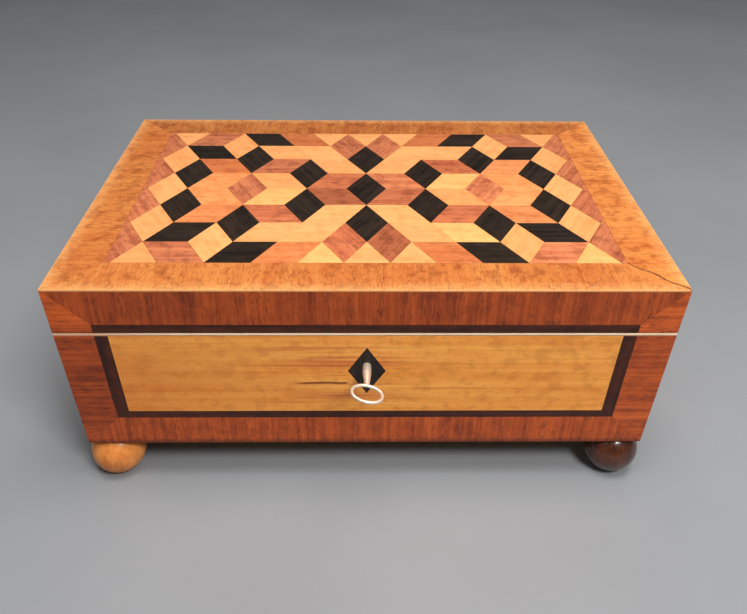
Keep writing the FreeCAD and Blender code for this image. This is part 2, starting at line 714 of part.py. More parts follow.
def leaf_recess(x, upper):
    """The space a leaf takes in the wood behind the back face."""
    y, z = hinge_axis()
    inner = y - KNUCKLE_RADIUS - KNUCKLE_CLEARANCE - LEAF_REACH
    low = LID_BOTTOM if upper else BODY_TOP - LEAF_THICKNESS
    return box(x - HINGE_WIDTH / 2, x + HINGE_WIDTH / 2, inner, y, low, low + LEAF_THICKNESS)


def hinge_screws(x, upper):
    """Three screws in a row through a leaf."""
    y, z = hinge_axis()
    row = y - KNUCKLE_RADIUS - KNUCKLE_CLEARANCE - LEAF_REACH / 2
    reach = HINGE_WIDTH / 2 - SCREW_EDGE
    level, direction = (LID_BOTTOM, Z) if upper else (BODY_TOP, -Z)
    return [screw(FreeCAD.Vector(x + offset, row, level), direction) for offset in (-reach, 0, reach)]


def link_plate_screws():
    inner = -(half_depth(LID_BOTTOM) - WALL)
    reach = LINK_PLATE_WIDTH / 2 - SCREW_EDGE
    return [screw(FreeCAD.Vector(x, inner - SELVEDGE_DEPTH / 2, LID_BOTTOM), Z) for x in (-reach, reach)]


# ---- Assembly ----

def cut_all(shapes, names, cutters):
    for name in names:
        for cutter in cutters:
            shapes[name] = shapes[name].cut(cutter)


def add_veneers(shapes):
    """Framed veneers on the front and both ends, plain veneer on the back."""
    bands, strings, panel = body_framing("front")
    shapes["front_bands"] = node(*bands)
    shapes["front_strings"] = node(*strings)
    shapes["front_panel"] = panel
    band, ends, strings = lid_framing("front")
    shapes["lid_front_band"] = band
    shapes["lid_front_ends"] = node(*ends)
    shapes["lid_front_strings"] = node(*strings)
    side_bands, side_strings, lid_bands, lid_strings = [], [], [], []
    for side in ("left", "right"):
        bands, strings, shapes[side + "_panel"] = body_framing(side)
        side_bands += bands
        side_strings += strings
        band, ends, strings = lid_framing(side)
        lid_bands += [band] + ends
        lid_strings += strings
    shapes["side_bands"] = node(*side_bands)
    shapes["side_strings"] = node(*side_strings)
    shapes["lid_side_bands"] = node(*lid_bands)
    shapes["lid_side_strings"] = node(*lid_strings)
    shapes["back_veneer"] = mitred_board("back", 0, VENEER, FOOT_HEIGHT, BOARD_TOP)
    shapes["lid_back_veneer"] = mitred_board("back", 0, VENEER, LID_BOTTOM, VENEER_TOP)
    shapes.update(lid_border())
    shapes.update(parquetry())


def add_feet(shapes):
    for name, signs in (("front_left", (-1, -1)), ("front_right", (1, -1)),
                        ("back_left", (-1, 1)), ("back_right", (1, 1))):
        shapes["foot_" + name] = foot(signs)
        cut_all(shapes, ["base_board"], [spigot(signs)])


def add_lock(shapes, walls):
    """Escutcheon, lock and link plate, let into the panel, front board, rim and lid rail."""
    escutcheon = lozenge(-VENEER, 2 * VENEER)
    shapes["escutcheon"] = shapes["front_panel"].common(escutcheon).cut(keyhole(-VENEER, 2 * VENEER))
    cut_all(shapes, ["front_panel"], [escutcheon])
    screws = lock_screw_solids()
    shapes["lock_plate"] = lock_plate(screws)
    shapes["lock_case"] = lock_case()
    shapes["drill_pin"] = lean_with_front(drill_pin_solid())
    shapes["lock_screws"] = node(*screws)
    shapes["lock_bolt"] = lock_bolt()
    shapes["key"] = key()
    mortise = [case_block(LOCK_CLEARANCE), back_plate(LOCK_CLEARANCE), selvedge(LOCK_CLEARANCE)]
    works = case_block(0)
    works.translate(Z * (2 * CASE_TOP_GAP))
    cut_all(shapes, ["carcass_front"], mortise + screws + [works, keyhole(0, CASE_FRONT)])
    walls[0] = walls[0].cut(lean_with_front(lining_opening()))
    plate_screws = link_plate_screws()
    shapes["link_plate"] = link_plate(plate_screws)
    shapes["link_plate_screws"] = node(*plate_screws)
    cut_all(shapes, ["lid_rail_front"], [link_plate_block()] + plate_screws)
    return [selvedge(LOCK_CLEARANCE), back_plate(LOCK_CLEARANCE)]


def lining_opening():
    """The lining stops round the lock's back plate."""
    half = LOCK_PLATE_WIDTH / 2 + LOCK_CLEARANCE
    inner = WORKS_BACK + LOCK_PLATE_THICKNESS
    return box(-half, half, inner - LINING, inner + 2 * LINING,
               -LOCK_PLATE_BELOW_KEY - LOCK_CLEARANCE, FAR)


def add_hinges(shapes, rims):
    screws = {True: [], False: []}
    pins = []
    back = list(SIDES).index("back")
    for side, x in (("left", -HINGE_SPACING / 2), ("right", HINGE_SPACING / 2)):
        shapes["hinge_lower_leaf_" + side] = hinge_leaf(x, False)
        shapes["hinge_upper_leaf_" + side] = hinge_leaf(x, True)
        pins.append(hinge_pin(x, PIN_RADIUS))
        for upper in (False, True):
            screws[upper] += hinge_screws(x, upper)
        rims[back] = rims[back].cut(leaf_recess(x, False))
        cut_all(shapes, ["lid_rail_back", "lid_back_veneer"], [leaf_recess(x, True)])
    for cutter in screws[False]:
        rims[back] = rims[back].cut(cutter)
    cut_all(shapes, ["carcass_back"], screws[False])
    cut_all(shapes, ["lid_rail_back"], screws[True])
    shapes["hinge_pins"] = node(*pins)
    shapes["hinge_screws_lower"] = node(*screws[False])
    shapes["hinge_screws_upper"] = node(*screws[True])


def build():
    shapes = carcass()
    shapes.update(lid_frame())
    add_veneers(shapes)
    add_feet(shapes)
    floor, walls = body_lining()
    rims = rim_facings()
    for cutter in add_lock(shapes, walls):
        rims[0] = rims[0].cut(cutter)
    add_hinges(shapes, rims)
    shapes["rim_facings"] = node(*rims)
    shapes["floor_lining"] = floor
    shapes["wall_lining"] = node(*walls)
    shapes["lid_lining"] = lid_lining()
    return shapes


def write_nodes(shapes):
    """Moves the box so that the origin is under the middle of its whole extent."""
    whole = Part.makeCompound(list(shapes.values())).optimalBoundingBox(False, False)
    shift = FreeCAD.Vector(-(whole.XMin + whole.XMax) / 2, -(whole.YMin + whole.YMax) / 2, -whole.ZMin)
    os.makedirs("parts", exist_ok=True)
    for name, shape in shapes.items():
        placed = shape.copy()
        placed.translate(shift)
        placed.exportStep("parts/" + name + ".step")
    y, z = hinge_axis()
    print("nodes", len(shapes))
    print("shift", shift)
    print("hinge axis", y + shift.y, z + shift.z)
    print("key axis", -half_depth(KEY_Z) + shift.y, KEY_Z + shift.z)
    print("size", whole.XLength, whole.YLength, whole.ZLength)


write_nodes(build())
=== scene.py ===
import json
import math
import random

import bpy
from mathutils import Matrix, Vector


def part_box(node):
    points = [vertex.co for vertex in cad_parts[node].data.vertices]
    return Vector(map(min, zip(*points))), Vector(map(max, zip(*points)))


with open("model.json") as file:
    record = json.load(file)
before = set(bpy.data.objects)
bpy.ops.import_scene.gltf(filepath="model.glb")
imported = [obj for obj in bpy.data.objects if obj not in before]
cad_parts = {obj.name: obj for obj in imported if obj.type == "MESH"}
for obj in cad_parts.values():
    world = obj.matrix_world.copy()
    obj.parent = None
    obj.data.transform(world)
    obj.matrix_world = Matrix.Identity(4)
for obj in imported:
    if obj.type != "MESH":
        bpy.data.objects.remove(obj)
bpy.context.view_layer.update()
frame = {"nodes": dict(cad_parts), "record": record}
nodes = frame["nodes"]

MM = 0.001

# Points closer than WELD are one point. Veneers and tiles are rounded by SOFT_EDGE at their edges,
# and the lid's border, which hands rub most, by ARRIS.
WELD = 0.01 * MM
SOFT_EDGE = 0.12 * MM
ARRIS = 0.28 * MM

# The parquetry is this many tile edges wide and this many rows deep
LATTICE_COLUMNS = 11.25
LATTICE_ROWS = 8

# The camera stands this far from the middle of the lid's top, in metres; the turns are in degrees
CAMERA_OFFSET = Vector((-0.0033, -0.3890, 0.2003))
CAMERA_PITCH = 31.85
CAMERA_YAW = -1.16
CAMERA_ROLL = 0.71
CAMERA_LENS = 36.86
CAMERA_SHIFT = -0.076

# Each lamp's place, its width and height in metres, its power in watts and its colour
LAMPS = {
    "ceiling": ((0.10, -0.20, 1.4), (0.8, 0.6), 17.0, (1.0, 0.97, 0.93)),
    "window": ((0.50, -0.85, 1.20), (0.4, 0.3), 17.0, (1.0, 0.98, 0.96)),
    "fill": ((-0.9, -0.8, 1.2), (0.6, 0.5), 1.2, (0.95, 0.97, 1.0)),
}
LAMP_TARGET = (0, 0, 0.08)
SKY_COLOUR = (0.92, 0.95, 1.0, 1)
SKY_STRENGTH = 0.09
FLOOR_HALF = 3.0

ACROSS = Vector((1, 0, 0))
BACK = Vector((0, 1, 0))
UP = Vector((0, 0, 1))


def srgb(red, green, blue):
    """A colour as the eye names it, 0 to 255, turned to the linear values that shaders use."""
    linear = []
    for level in (red, green, blue):
        share = level / 255
        linear.append(share / 12.92 if share <= 0.04045 else ((share + 0.055) / 1.055) ** 2.4)
    return (*linear, 1.0)


# ---- Shader building ----

# A Mix node has sockets for each type of value; these are its factor and those for colours
MIX_FACTOR, MIX_A, MIX_B = 0, 6, 7
MIX_RESULT = 2


class Graph:
    """One material's node tree, with a Principled shader at its end."""

    def __init__(self, name):
        self.material = bpy.data.materials.new(name)
        self.material.use_nodes = True
        self.tree = self.material.node_tree
        self.tree.nodes.clear()
        self.shader = self.tree.nodes.new("ShaderNodeBsdfPrincipled")
        output = self.tree.nodes.new("ShaderNodeOutputMaterial")
        self.tree.links.new(self.shader.outputs["BSDF"], output.inputs["Surface"])

    def put(self, socket, value):
        """Links an input to another node's output, or sets it to a plain value."""
        if isinstance(value, bpy.types.NodeSocket):
            self.tree.links.new(value, socket)
        elif value is not None:
            socket.default_value = value

    def node(self, kind, values=(), **settings):
        made = self.tree.nodes.new(kind)
        for name, setting in settings.items():
            setattr(made, name, setting)
        for socket, value in zip(made.inputs, values):
            self.put(socket, value)
        return made

    def math(self, operation, a, b=0.0, clamp=False):
        return self.node("ShaderNodeMath", (a, b), operation=operation, use_clamp=clamp).outputs[0]

    def add(self, total, *others):
        for other in others:
            total = self.math("ADD", total, other)
        return total

    def minus(self, a, b, clamp=False):
        return self.math("SUBTRACT", a, b, clamp)

    def times(self, a, b):
        return self.math("MULTIPLY", a, b)

    def size(self, a):
        """The value without its sign."""
        return self.math("ABSOLUTE", a)

    def positive(self, a):
        """The value, or 0 where it is below 0."""
        return self.math("MAXIMUM", a, 0.0)

    def vector(self, operation, a, b):
        return self.node("ShaderNodeVectorMath", (a, b), operation=operation).outputs[0]

    def scaled(self, a, amount):
        made = self.node("ShaderNodeVectorMath", (a,), operation="SCALE")
        self.put(made.inputs["Scale"], amount)
        return made.outputs[0]

    def dot(self, a, b):
        return self.node("ShaderNodeVectorMath", (a, b), operation="DOT_PRODUCT").outputs["Value"]

    def attribute(self, name):
        return self.node("ShaderNodeAttribute", attribute_name=name).outputs["Vector"]

    def place(self):
        """Where a point lies in the row frame, in millimetres."""
        return self.scaled(self.node("ShaderNodeTexCoord").outputs["Object"], 1 / MM)

    def parts(self, vector):
        return self.node("ShaderNodeSeparateXYZ", (vector,)).outputs

    def noise(self, where, scale, detail=3.0, roughness=0.55, distortion=0.0):
        """Soft noise of about scale patches to the millimetre."""
        made = self.node("ShaderNodeTexNoise")
        self.put(made.inputs["Vector"], where)
        self.put(made.inputs["Scale"], scale)
        self.put(made.inputs["Detail"], detail)
        self.put(made.inputs["Roughness"], roughness)
        self.put(made.inputs["Distortion"], distortion)
        return made.outputs[0]

    def cells(self, where, scale):
        made = self.node("ShaderNodeTexVoronoi")
        self.put(made.inputs["Vector"], where)
        self.put(made.inputs["Scale"], scale)
        return made.outputs["Distance"]

    def between(self, value, low, high, start=0.0, end=1.0):
        """A smooth step from start to end as value goes from low to high."""
        made = self.node("ShaderNodeMapRange", (value, low, high, start, end))
        made.interpolation_type = "SMOOTHSTEP"
        return made.outputs[0]

    def mix(self, amount, a, b, blend="MIX"):
        made = self.node("ShaderNodeMix", data_type="RGBA", blend_type=blend)
        self.put(made.inputs[MIX_FACTOR], amount)
        self.put(made.inputs[MIX_A], a)
        self.put(made.inputs[MIX_B], b)
        return made.outputs[MIX_RESULT]

    def bump(self, height, depth, strength, normal=None):
        made = self.node("ShaderNodeBump")
        self.put(made.inputs["Strength"], strength)
        self.put(made.inputs["Distance"], depth)
        self.put(made.inputs["Height"], height)
        self.put(made.inputs["Normal"], normal)
        return made.outputs[0]

    def finish(self, **sockets):
        for name, value in sockets.items():
            self.put(self.shader.inputs[name.replace("_", " ")], value)
        return self.material


# ---- Wood ----

# How far apart in the log two pieces can lie, in millimetres
LOG_SPREAD = 400.0

# The share of fine fibres in a wood's tone, and how sharply light turns to dark
FIBRE_SHARE = 0.22
TONE_SPREAD = 0.24

# What a piece's colour is multiplied by as it turns to red or to yellow
REDDER = (1.0, 0.74, 0.66, 1)
YELLOWER = (1.03, 1.12, 1.04, 1)


class Grain:
    """Places measured along and across the grain, each piece from its own part of the log."""

    def __init__(self, graph):
        self.graph = graph
        self.place = graph.place()
        direction = graph.attribute("grain")
        self.seed = graph.scaled(graph.attribute("seed"), LOG_SPREAD)
        self.along = graph.scaled(direction, graph.dot(self.place, direction))
        self.across = graph.vector("SUBTRACT", self.place, self.along)
        self.tint = graph.parts(graph.attribute("tint"))

    def stretched(self, ratio):
        """Coordinates in which a pattern runs 1/ratio times longer along the grain."""
        combined = self.graph.vector("ADD", self.across, self.graph.scaled(self.along, ratio))
        return self.graph.vector("ADD", combined, self.seed)


def wood_tone(graph, grain, fibres, figure, lines):
    """0 where the wood is light and 1 where it is dark, from figure, growth lines and fibres."""
    broad = graph.noise(grain.stretched(0.12), scale=0.055, detail=2.0, roughness=0.5,
                        distortion=0.6)
    growth = graph.noise(grain.stretched(0.018), scale=0.42, detail=4.0, roughness=0.6,
                         distortion=0.35)
    tone = graph.add(graph.times(broad, figure), graph.times(growth, lines),
                     graph.times(fibres, FIBRE_SHARE))
    middle = (figure + lines + FIBRE_SHARE) / 2
    return graph.between(tone, middle - TONE_SPREAD, middle + TONE_SPREAD)


def blotched(graph, grain, colour, light, deep, mottle):
    """Cross-grain shimmer and blotches of polish, some darker and some paler."""
    blotch = graph.noise(grain.stretched(0.8), scale=0.16, roughness=0.6, distortion=0.3)
    blotch = graph.between(blotch, 0.35, 0.68, -mottle, mottle)
    colour = graph.mix(graph.positive(blotch), colour, deep)
    return graph.mix(graph.positive(graph.times(blotch, -0.7)), colour, light)


def open_pores(graph, grain, pore_size):
    """1 in the short dashes that open pores make along the grain, which crowd in some places."""
    dashes = graph.noise(grain.stretched(0.07), scale=3.1 / pore_size, detail=2.0, roughness=0.6)
    crowd = graph.noise(grain.stretched(0.05), scale=0.3, detail=2.0)
    return graph.between(graph.add(dashes, graph.times(crowd, 0.35)), 0.74, 0.86)


def own_shade(graph, grain, colour):
    """A piece's own shade: its tint's x is brightness, y moves it to red and z to yellow."""
    redder = graph.mix(1.0, colour, REDDER, "MULTIPLY")
    yellower = graph.mix(1.0, colour, YELLOWER, "MULTIPLY")
    colour = graph.mix(grain.tint[1], colour, redder)
    colour = graph.mix(grain.tint[2], colour, yellower)
    brightness = graph.node("ShaderNodeCombineXYZ", (grain.tint[0],) * 3).outputs[0]
    return graph.mix(1.0, colour, brightness, "MULTIPLY")


def polish(graph, grain, fibres, dashes, pores, roughness):
    """The roughness and normal of a handled polish: scratches, smears and dull open pores."""
    scratch = graph.noise(graph.scaled(grain.place, 0.35), scale=1.0, detail=6.0, roughness=0.75,
                          distortion=1.6)
    smear = graph.noise(grain.place, scale=0.03, detail=2.0, roughness=0.5, distortion=0.8)
    rough = graph.add(roughness,
                      graph.between(smear, 0.3, 0.7, -0.05, 0.09),
                      graph.between(scratch, 0.52, 0.66, 0.0, 0.10),
                      graph.times(dashes, 0.16 * min(1.0, pores * 2)))
    relief = graph.minus(graph.times(fibres, 0.35), graph.times(dashes, min(1.0, pores * 1.4)))
    relief = graph.minus(relief, graph.times(scratch, 0.25))
    wavy = graph.noise(grain.stretched(0.4), scale=0.05, detail=2.0)
    normal = graph.bump(wavy, depth=0.5 * MM, strength=0.10)
    return rough, graph.bump(relief, depth=0.06 * MM, strength=0.55, normal=normal)


def wood(name, light, dark, deep, pores=0.4, figure=0.5, lines=0.5, mottle=0.3, flecks=0.0,
         pore_size=1.0, roughness=0.36, coat=0.16, wear_and_painted_light=None):
    """Polished wood. light and dark are its two main tones and deep the colour of its pores."""
    graph = Graph(name)
    grain = Grain(graph)
    fibres = graph.noise(grain.stretched(0.035), scale=2.6, roughness=0.65)
    colour = graph.mix(wood_tone(graph, grain, fibres, figure, lines), light, dark)
    colour = blotched(graph, grain, colour, light, deep, mottle)
    dashes = open_pores(graph, grain, pore_size)
    colour = graph.mix(graph.times(dashes, pores), colour, deep)
    if flecks:
        rays = graph.cells(grain.stretched(0.33), scale=0.9)
        colour = graph.mix(graph.between(rays, 0.06, 0.22, flecks, 0.0), colour, deep)
    colour = own_shade(graph, grain, colour)
    if wear_and_painted_light:
        colour = wear_and_painted_light(graph, grain, colour)
    rough, normal = polish(graph, grain, fibres, dashes, pores, roughness)
    return graph.finish(Base_Color=colour, Roughness=rough, Normal=normal, Coat_Weight=coat,
                        Coat_Roughness=0.16, Specular_IOR_Level=0.24)


# ---- Wear, damage, painted highlight and painted shade ----

def lid_edge_distances(graph, parts):
    """How far in a point lies from the lid's ends, and from its long edges, in millimetres."""
    board_low, board_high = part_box("lid_top_board")
    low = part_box("top_border_left")[0]
    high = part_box("top_border_right")[1]
    middle_y = (board_low.y + board_high.y) / 2 / MM
    from_ends = graph.minus((high.x - low.x) / 2 / MM, graph.size(parts[0]))
    from_sides = graph.minus((high.y - low.y) / 2 / MM,
                             graph.size(graph.minus(parts[1], middle_y)))
    return from_ends, from_sides


def open_mitres(graph, grain, parts, from_ends, from_sides):
    """Dark cracks along the border's mitres, widest by far at the front right corner."""
    wander = graph.noise(grain.place, scale=0.11, roughness=0.6)
    wander = graph.between(wander, 0.3, 0.7, -1.1, 1.1)
    off_line = graph.size(graph.add(graph.minus(from_ends, from_sides), wander))
    right_front = graph.times(graph.between(parts[0], 60.0, 110.0),
                              graph.between(parts[1], -20.0, -60.0))
    width = graph.add(0.35, graph.times(right_front, 0.75))
    crack = graph.minus(1.0, graph.math("DIVIDE", off_line, width), clamp=True)
    return graph.times(crack, graph.add(0.45, graph.times(right_front, 0.5)))


def border_wear_and_highlight(graph, grain, colour):
    """The lid's border: speckled, rubbed pale to its outer edge, with a painted highlight along its
    worn arris, and dark in the open mitres.
    """
    parts = graph.parts(grain.place)
    from_ends, from_sides = lid_edge_distances(graph, parts)
    nearest = graph.math("MINIMUM", from_ends, from_sides)
    ragged = graph.noise(grain.place, scale=0.22, detail=4.0, roughness=0.7)
    pale = graph.between(graph.add(nearest, graph.times(ragged, 14.0)), 6.0, 15.0, 0.34, 0.0)
    colour = graph.mix(pale, colour, srgb(246, 190, 122))
    specks = graph.noise(grain.stretched(0.3), scale=0.9, roughness=0.7)
    colour = graph.mix(graph.between(specks, 0.56, 0.70, 0.0, 0.62), colour, srgb(138, 66, 34))
    # Painted highlight: the worn arris, the last millimetre to the outer edge, is painted paler, as
    # if catching the light.
    arris_wear_and_highlight = graph.between(graph.add(nearest, graph.times(ragged, 0.9)), 0.5, 1.0, 0.6, 0.0)
    colour = graph.mix(arris_wear_and_highlight, colour, srgb(240, 176, 112))
    crack = open_mitres(graph, grain, parts, from_ends, from_sides)
    return graph.mix(crack, colour, srgb(70, 30, 16))


def darker_lower_edge(graph, grain, colour):
    """Darker along the lower edge of the box, in a ragged band."""
    parts = graph.parts(grain.place)
    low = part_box("front_bands")[0].z / MM
    height = graph.minus(parts[2], low)
    ragged = graph.noise(grain.place, scale=0.25, detail=4.0, roughness=0.7)
    lower_edge_dark = graph.between(graph.minus(height, graph.times(ragged, 5.0)), -2.0, 1.2, 0.6, 0.0)
    return graph.mix(lower_edge_dark, colour, srgb(52, 24, 14))


def rim_tones(graph, grain, colour):
    """The rim's strips: pale on top, darker below that, and pinker on the left."""
    parts = graph.parts(grain.place)
    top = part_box("rim_facings")[1].z / MM
    depth = graph.minus(top, parts[2])
    ragged = graph.noise(grain.place, scale=0.18, roughness=0.6)
    darker_below_top = graph.between(graph.add(depth, graph.times(ragged, 0.4)), 0.8, 1.2, 0.0, 0.8)
    colour = graph.mix(darker_below_top, colour, srgb(150, 72, 36))
    pinker = graph.between(parts[0], -80.0, -140.0, 0.0, 0.6)
    return graph.mix(pinker, colour, srgb(206, 134, 100))


# Cracks in the front panel: from and to across the box and height above the escutcheon's middle,
# in millimetres, then thickness and strength
PANEL_CRACKS = (
    (-38, -8, -8.2, 1.0, 0.85),
    (-24, -8, -3.0, 0.5, 0.3),
    (6, 12, 6.0, 0.8, 0.6),
    (20, 62, -12.0, 0.5, 0.25),
)


def crack_line(graph, parts, start, end, height, wander, thickness):
    """A dark wavy split along the panel's grain between two places across it."""
    drift = graph.times(graph.minus(wander, 0.5), 2.6)
    offset = graph.size(graph.minus(graph.add(parts[2], drift), height))
    line = graph.between(offset, thickness * 0.4, thickness, 1.0, 0.0)
    reach = graph.times(graph.between(parts[0], start, start + 8.0),
                        graph.between(parts[0], end - 3.0, end, 1.0, 0.0))
    return graph.times(line, reach)


def panel_wear_and_shade(graph, grain, colour):
    """The front panel: red streaks by the escutcheon, a left half darkened as painted shade, and
    old splits.
    """
    low, high = (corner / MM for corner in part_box("escutcheon"))
    middle = (low.z + high.z) / 2
    parts = graph.parts(grain.place)
    streak = graph.noise(grain.stretched(0.02), scale=0.22, roughness=0.6, distortion=0.4)
    near = graph.between(graph.size(graph.add(parts[0], 16.0)), 10.0, 62.0, 0.75, 0.0)
    red = graph.times(graph.between(streak, 0.54, 0.68), near)
    colour = graph.mix(red, colour, srgb(196, 92, 48))
    # Painted shade: the left half is painted a deeper orange, fading out from the left end towards
    # the middle.
    patches = graph.noise(grain.stretched(0.1), scale=0.05, detail=2.0)
    painted_left_shade = graph.times(graph.between(parts[0], -130.0, 20.0, 0.5, 0.0),
                         graph.between(patches, 0.3, 0.6, 0.5, 1.0))
    colour = graph.mix(painted_left_shade, colour, srgb(206, 106, 36))
    flattened = graph.vector("MULTIPLY", grain.place, (1.0, 1.0, 0.05))
    wander = graph.noise(flattened, scale=0.05, roughness=0.6)
    for start, end, rise, thickness, strength in PANEL_CRACKS:
        line = crack_line(graph, parts, start, end, middle + rise, wander, thickness)
        colour = graph.mix(graph.times(line, strength), colour, srgb(104, 30, 14))
    return colour


def satinwood(name, wear_and_painted_light=None):
    return wood(name, srgb(255, 180, 84), srgb(232, 140, 50), srgb(168, 86, 36), pores=0.35,
                figure=0.55, lines=0.6, mottle=0.25, flecks=0.12, pore_size=0.8, wear_and_painted_light=wear_and_painted_light)


def wood_materials():
    """Every wood on the box. string_ebony is the strings' and satinwood_front the front panel's."""
    return {
        "maple": wood("maple", srgb(242, 174, 110), srgb(226, 150, 88), srgb(190, 108, 56),
                      pores=0.25, figure=0.35, lines=0.5, mottle=0.22, flecks=0.25,
                      pore_size=0.7),
        "cherry": wood("cherry", srgb(232, 150, 92), srgb(206, 116, 66), srgb(150, 74, 40),
                       pores=0.4, figure=0.4, lines=0.55, mottle=0.3, flecks=0.2,
                       pore_size=0.8),
        "mahogany": wood("mahogany", srgb(208, 126, 84), srgb(168, 88, 58), srgb(100, 44, 28),
                         pores=0.6, figure=0.4, lines=0.8, mottle=0.35),
        "ebony": wood("ebony", srgb(56, 42, 32), srgb(14, 10, 8), srgb(4, 3, 3),
                      pores=0.5, figure=0.3, lines=0.6, mottle=0.3, roughness=0.38, coat=0.06),
        "string_ebony": wood("string_ebony", srgb(86, 38, 21), srgb(44, 18, 10), srgb(14, 7, 5),
                             pores=0.4, figure=0.3, lines=0.8, mottle=0.3, roughness=0.42,
                             coat=0.04),
        "border_cherry": wood("border_cherry", srgb(238, 154, 80), srgb(206, 108, 50),
                              srgb(136, 58, 26), pores=0.75, figure=0.55, lines=0.45,
                              mottle=0.42, flecks=0.2, pore_size=1.1, wear_and_painted_light=border_wear_and_highlight),
        "crossband_mahogany": wood("crossband_mahogany", srgb(214, 98, 34), srgb(134, 48, 15),
                                   srgb(56, 16, 6), pores=0.7, figure=0.3, lines=0.6,
                                   mottle=0.22, wear_and_painted_light=darker_lower_edge),
        "satinwood": satinwood("satinwood"),
        "satinwood_front": satinwood("satinwood_front", wear_and_painted_light=panel_wear_and_shade),
        "boxwood": wood("boxwood", srgb(255, 238, 204), srgb(246, 214, 168), srgb(196, 140, 96),
                        pores=0.1, figure=0.3, lines=0.4, mottle=0.15, roughness=0.4,
                        coat=0.15, wear_and_painted_light=rim_tones),
        "carcass_pine": wood("carcass_pine", srgb(214, 168, 112), srgb(176, 122, 72),
                             srgb(120, 74, 40), pores=0.15, figure=0.3, lines=0.95, mottle=0.25,
                             roughness=0.62, coat=0.0),
        "foot_fruitwood": wood("foot_fruitwood", srgb(238, 160, 84), srgb(204, 120, 56),
                               srgb(150, 80, 30), pores=0.3, figure=0.6, lines=0.5,
                               mottle=0.35),
        "foot_rosewood": wood("foot_rosewood", srgb(96, 50, 28), srgb(40, 20, 15),
                              srgb(14, 7, 6), figure=0.5, lines=0.6, mottle=0.3,
                              roughness=0.22, coat=0.6),
    }


# ---- Metal and lining ----

def metal(name, base, tarnish, roughness, dirt=0.4, metallic=1.0):
    """Old metal: rubbed bright in places, tarnished in others, with fine scratches."""
    graph = Graph(name)
    place = graph.place()
    patches = graph.noise(place, scale=0.35, detail=4.0, roughness=0.65, distortion=0.4)
    brushed = graph.vector("MULTIPLY", place, (0.4, 2.0, 2.4))
    fine = graph.noise(brushed, scale=1.6, detail=4.0, roughness=0.7)
    spots = graph.noise(place, scale=1.4, roughness=0.6)
    spots = graph.between(spots, 0.58, 0.7, 0.0, dirt)
    soiled = tuple(level * 0.35 for level in tarnish[:3]) + (1.0,)
    colour = graph.mix(graph.between(patches, 0.35, 0.7), base, tarnish)
    colour = graph.mix(spots, colour, soiled)
    rough = graph.add(roughness, graph.between(patches, 0.3, 0.75, -0.06, 0.14),
                      graph.times(spots, 0.3))
    relief = graph.add(graph.times(fine, 0.5), patches)
    normal = graph.bump(relief, depth=0.05 * MM, strength=0.35)
    return graph.finish(Base_Color=colour, Roughness=rough, Normal=normal, Metallic=metallic)


def lining_paper():
    """Faded coloured paper with a soft tooth, worn lighter in places."""
    graph = Graph("lining_paper")
    place = graph.place()
    tooth = graph.noise(place, scale=2.2, detail=4.0, roughness=0.7)
    worn = graph.noise(place, scale=0.035, detail=4.0, roughness=0.6, distortion=0.5)
    colour = graph.mix(graph.between(worn, 0.35, 0.72), srgb(120, 34, 40), srgb(150, 66, 60))
    colour = graph.mix(graph.between(tooth, 0.4, 0.7, 0.0, 0.35), colour, srgb(92, 24, 32))
    rough = graph.between(tooth, 0.3, 0.7, 0.82, 0.95)
    normal = graph.bump(tooth, depth=0.12 * MM, strength=0.5)
    return graph.finish(Base_Color=colour, Roughness=rough, Normal=normal)


def other_materials():
    """What isn't wood, by the name of its slot in the record."""
    return {
        "brass": metal("brass", srgb(214, 172, 92), srgb(150, 108, 54), roughness=0.34),
        "steel": metal("steel", srgb(250, 236, 218), srgb(214, 192, 168), roughness=0.46,
                       dirt=0.15, metallic=0.7),
        "lining_paper": lining_paper(),
    }


# ---- Marking each piece of wood with its grain, its place in the log and its shade ----

def solids_of(mesh):
    """Each solid's lowest corner, highest corner and faces, in order from the left."""
    corner_of = {}
    at = [corner_of.setdefault(tuple(round(c / WELD) for c in v.co), len(corner_of))
          for v in mesh.vertices]
    parent = list(range(len(corner_of)))

    def root(n):
        while parent[n] != n:
            parent[n] = parent[parent[n]]
            n = parent[n]
        return n

    for face in mesh.polygons:
        first = root(at[face.vertices[0]])
        for vertex in face.vertices[1:]:
            parent[root(at[vertex])] = first
    groups = {}
    for face in mesh.polygons:
        groups.setdefault(root(at[face.vertices[0]]), []).append(face.index)
    solids = []
    for faces in groups.values():
        points = [mesh.vertices[v].co for f in faces for v in mesh.polygons[f].vertices]
        low = Vector(min(p[a] for p in points) for a in range(3))
        high = Vector(max(p[a] for p in points) for a in range(3))
        solids.append((low, high, faces))
    return sorted(solids, key=lambda s: tuple(round(c, 5) for c in s[0]))


def mark(name, grain_of, tint_of):
    """Stores each solid's grain direction, place in the log and shade on its faces."""
    mesh = nodes[name].data
    draw = random.Random(name)
    values = {"grain": {}, "seed": {}, "tint": {}}
    for low, high, faces in solids_of(mesh):
        grain = grain_of(low, high).normalized()
        seed = [draw.random() for _ in range(3)]
        tint = tint_of(low, high, draw)
        for face in faces:
            values["grain"][face] = grain
            values["seed"][face] = seed
            values["tint"][face] = tint
    for key in values:
        mesh.attributes.new(key, "FLOAT_VECTOR", "FACE")
    for key, by_face in values.items():
        flat = [number for face in range(len(mesh.polygons)) for number in by_face[face]]
        mesh.attributes[key].data.foreach_set("vector", flat)


def soften(name, width):
    """Rounds a flat piece's edges a little, so that they catch light and show the joints."""
    thing = nodes[name]
    mesh = thing.data
    if "custom_normal" in mesh.attributes:
        mesh.attributes.remove(mesh.attributes["custom_normal"])
    for face in mesh.polygons:
        face.use_smooth = False
    weld = thing.modifiers.new("weld", "WELD")
    weld.merge_threshold = WELD
    bevel = thing.modifiers.new("soft_edges", "BEVEL")
    bevel.width = width
    bevel.segments = 2
    bevel.limit_method = "ANGLE"
    bevel.angle_limit = math.radians(30)
    bevel.use_clamp_overlap = True


def dress(name, material):
    slots = nodes[name].data.materials
    slots.clear()
    slots.append(material)


